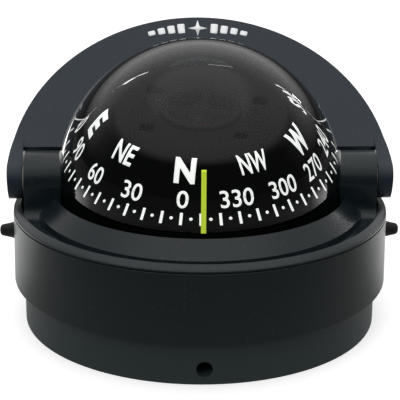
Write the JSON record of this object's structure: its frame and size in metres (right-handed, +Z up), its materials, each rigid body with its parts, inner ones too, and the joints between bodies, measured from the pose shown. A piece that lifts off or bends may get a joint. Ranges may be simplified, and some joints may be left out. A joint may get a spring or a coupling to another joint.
{
  "type": "surface-mounted marine compass",
  "caption": "Round surface-mount boat compass with a fluid-filled clear dome, a gimballed direct-reading card, a lubber line and a tilting hood.",
  "frame": {"origin": "centre of the round foot, on the deck it is screwed to", "axes": "+Z up, -Y towards the reader (the lubber line stands on that side), +X to the reader's right along the hood's hinge"},
  "size_m": [0.1134, 0.1054, 0.0792],
  "materials": {
    "housing_black": "satin moulded plastic, nearly black",
    "bezel_grey": "satin moulded plastic, blue-black",
    "hood_grey": "fine-grained satin plastic, blue-grey",
    "rubber_black": "matte moulded rubber",
    "dome_clear": "clear polished acrylic",
    "capsule_black": "matte black moulding",
    "card_black": "flat black card with white marks",
    "hub_grey": "dark grey moulding",
    "lubber_green": "yellow-green, slightly fluorescent",
    "brass": "turned brass",
    "steel": "stainless steel",
    "magnet": "ground magnet steel",
    "jewel": "polished synthetic sapphire",
    "nylon": "natural nylon",
    "lens_green": "clear green"
  },
  "bodies": {
    "base": {"base_gasket": "rubber_black", "base_ring": "housing_black", "cable_gland": "rubber_black", "drum": "housing_black", "bezel": "bezel_grey", "bezel_screws": "steel", "side_screws": "brass", "side_cap_left": "rubber_black", "side_cap_right": "rubber_black", "dome": "dome_clear", "dome_seal": "rubber_black", "bowl": "capsule_black", "gimbal_seat": "capsule_black", "pitch_pins": "steel", "fill_plug": "brass", "diaphragm": "rubber_black", "diaphragm_cover": "steel", "cover_screws": "steel", "lamp_lens": "lens_green", "lamp_led": "lens_green", "lamp_holder": "capsule_black", "hood_washers": "nylon", "hood_pivots": "steel"},
    "hood": {"hood": "hood_grey", "hood_pivot_caps": "rubber_black"},
    "outer_gimbal": {"gimbal_ring": "capsule_black", "roll_pins": "steel"},
    "inner_gimbal": {"gimbal_frame": "capsule_black", "ballast_weight": "brass", "pivot_post": "brass", "pivot_needle": "steel", "lubber_line": "lubber_green"},
    "card": {"card": "card_black", "card_hub": "hub_grey", "jewel_cup": "jewel", "card_float": "card_black", "card_magnets": "magnet"},
    "fore_aft_adjuster": {"fore_aft_rod": "brass", "fore_aft_magnets": "magnet"},
    "athwart_adjuster": {"athwart_rod": "brass", "athwart_magnets": "magnet"}
  },
  "joints": [
    {"name": "hood_tilt", "type": "hinge", "parent": "base", "child": "hood", "pos_m": [0, 0, 0.0397], "axis": [1, 0, 0], "range_deg": [-42, 118]},
    {"name": "gimbal_pitch", "type": "hinge", "parent": "base", "child": "outer_gimbal", "pos_m": [0, 0, 0.0344], "axis": [1, 0, 0], "range_deg": [-24, 16]},
    {"name": "gimbal_roll", "type": "hinge", "parent": "outer_gimbal", "child": "inner_gimbal", "pos_m": [0, 0, 0.0344], "axis": [0, 0.9976, 0.0698], "range_deg": [-20, 20]},
    {"name": "card_spin", "type": "hinge", "parent": "inner_gimbal", "child": "card", "pos_m": [0, 0, 0.0344], "axis": [0, -0.0698, 0.9976], "continuous": true},
    {"name": "fore_aft_turn", "type": "hinge", "parent": "base", "child": "fore_aft_adjuster", "pos_m": [0, 0, 0.0043], "axis": [0, 1, 0], "continuous": true},
    {"name": "athwart_turn", "type": "hinge", "parent": "base", "child": "athwart_adjuster", "pos_m": [0, 0, 0.0086], "axis": [1, 0, 0], "continuous": true}
  ]
}
